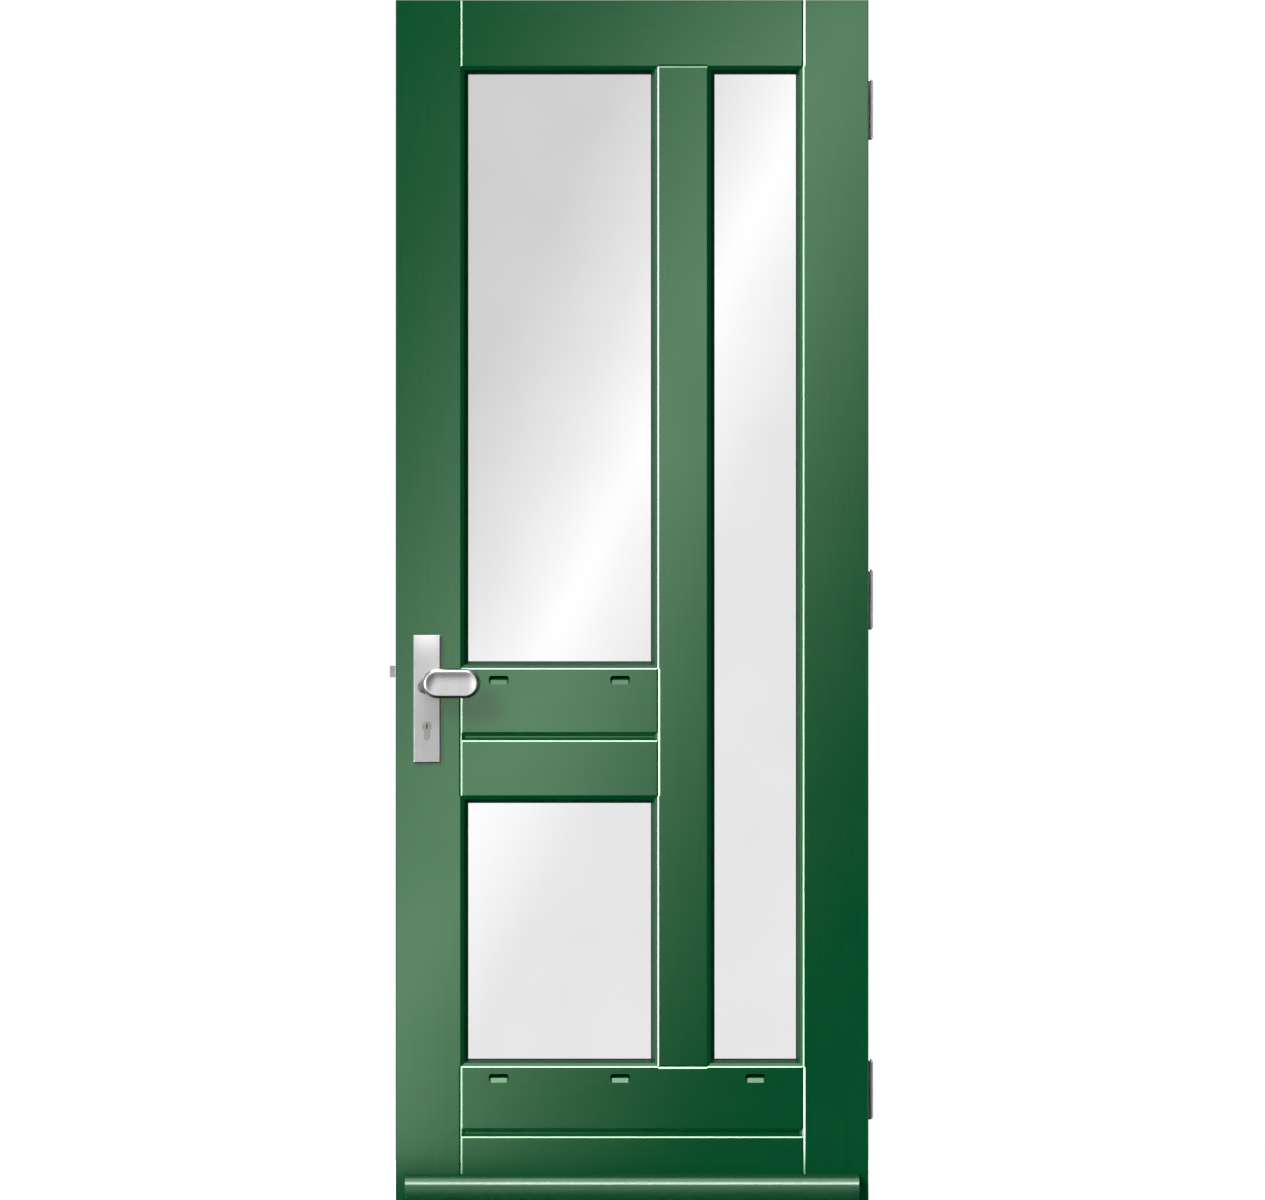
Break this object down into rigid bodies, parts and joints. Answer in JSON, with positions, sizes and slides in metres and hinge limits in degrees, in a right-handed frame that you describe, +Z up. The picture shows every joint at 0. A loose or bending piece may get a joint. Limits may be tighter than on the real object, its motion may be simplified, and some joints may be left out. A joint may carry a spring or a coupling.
{
  "type": "front door leaf",
  "caption": "Green painted timber front door leaf with insulated glass lights, a weather bar, a fixed outside knob, an inside lever, a mortise lock and butt hinges.",
  "frame": {"origin": "middle of the four screw holes of the lowest hinge's frame-side flap, on the face that lies on the jamb", "axes": "+X out of the hinge edge into the jamb, +Y from the outside of the house to the inside, +Z up"},
  "size_m": [0.85, 0.1685, 2.115],
  "materials": {
    "green_paint": "gloss paint on timber",
    "glass": "clear float glass",
    "spacer_aluminium": "mill finish",
    "black_rubber": "matt black",
    "grey_plastic": "matt",
    "satin_aluminium": "satin anodised",
    "zinc_steel": "zinc plated",
    "nickel": "satin nickel",
    "nickel_brass": "nickel plated brass",
    "hinge_steel": "brushed stainless",
    "ring_brass": "plain"
  },
  "bodies": {
    "frame_hinges": {"bottom_frame_flap": "hinge_steel", "bottom_pin": "hinge_steel", "middle_frame_flap": "hinge_steel", "middle_pin": "hinge_steel", "top_frame_flap": "hinge_steel", "top_pin": "hinge_steel", "hinge_rings": "ring_brass"},
    "leaf": {"lock_stile": "green_paint", "hinge_stile": "green_paint", "top_rail": "green_paint", "lock_rail": "green_paint", "bottom_rail": "green_paint", "mullion": "green_paint", "weather_bar": "green_paint", "upper_outer_pane": "glass", "upper_inner_pane": "glass", "upper_spacer": "spacer_aluminium", "upper_gasket": "black_rubber", "upper_tape": "black_rubber", "upper_beads": "green_paint", "lower_outer_pane": "glass", "lower_inner_pane": "glass", "lower_spacer": "spacer_aluminium", "lower_gasket": "black_rubber", "lower_tape": "black_rubber", "lower_beads": "green_paint", "side_outer_pane": "glass", "side_inner_pane": "glass", "side_spacer": "spacer_aluminium", "side_gasket": "black_rubber", "side_tape": "black_rubber", "side_beads": "green_paint", "setting_blocks": "grey_plastic", "outer_plate": "satin_aluminium", "knob": "satin_aluminium", "inner_plate": "satin_aluminium", "knob_stud": "zinc_steel", "plate_bolts": "zinc_steel", "forend_screws": "zinc_steel", "cylinder_screw": "zinc_steel", "hinge_screws": "zinc_steel", "lock_case": "zinc_steel", "lock_cover": "zinc_steel", "latch_spring": "zinc_steel", "forend": "nickel", "cylinder_body": "nickel", "bottom_door_flap": "hinge_steel", "middle_door_flap": "hinge_steel", "top_door_flap": "hinge_steel"},
    "lever_set": {"lever": "satin_aluminium", "spindle": "zinc_steel", "follower": "zinc_steel"},
    "latch": {"latch_bolt": "nickel"},
    "dead_bolt": {"dead_bolt": "nickel"},
    "cylinder_core": {"outer_plug": "nickel_brass", "inner_plug": "nickel_brass", "cylinder_cam": "zinc_steel"}
  },
  "joints": [
    {"name": "door_swing", "type": "hinge", "parent": "frame_hinges", "child": "leaf", "pos_m": [-0.0055, 0.02375, 0.8625], "axis": [0, 0, -1], "range_deg": [0, 110]},
    {"name": "lever_turn", "type": "hinge", "parent": "leaf", "child": "lever_set", "pos_m": [-0.7825, -0.01075, 0.712], "axis": [0, 1, 0], "range_deg": [0, 40], "stiffness_Nm_per_rad": 1.2, "springref_deg": -22.92},
    {"name": "latch_slide", "type": "slide", "parent": "leaf", "child": "latch", "axis": [1, 0, 0], "range_m": [0, 0.011], "deforming": ["latch_spring"]},
    {"name": "key_turn", "type": "hinge", "parent": "leaf", "child": "cylinder_core", "pos_m": [-0.7825, -0.01075, 0.64], "axis": [0, -1, 0], "range_deg": [0, 360]},
    {"name": "bolt_throw", "type": "slide", "parent": "leaf", "child": "dead_bolt", "axis": [-1, 0, 0], "range_m": [0, 0.02]}
  ],
  "couplings": [
    {"joint": "latch_slide", "follows": "lever_turn", "m_per_rad": 0.01575},
    {"joint": "key_turn", "follows": "bolt_throw", "rad_per_m": 314.15}
  ]
}
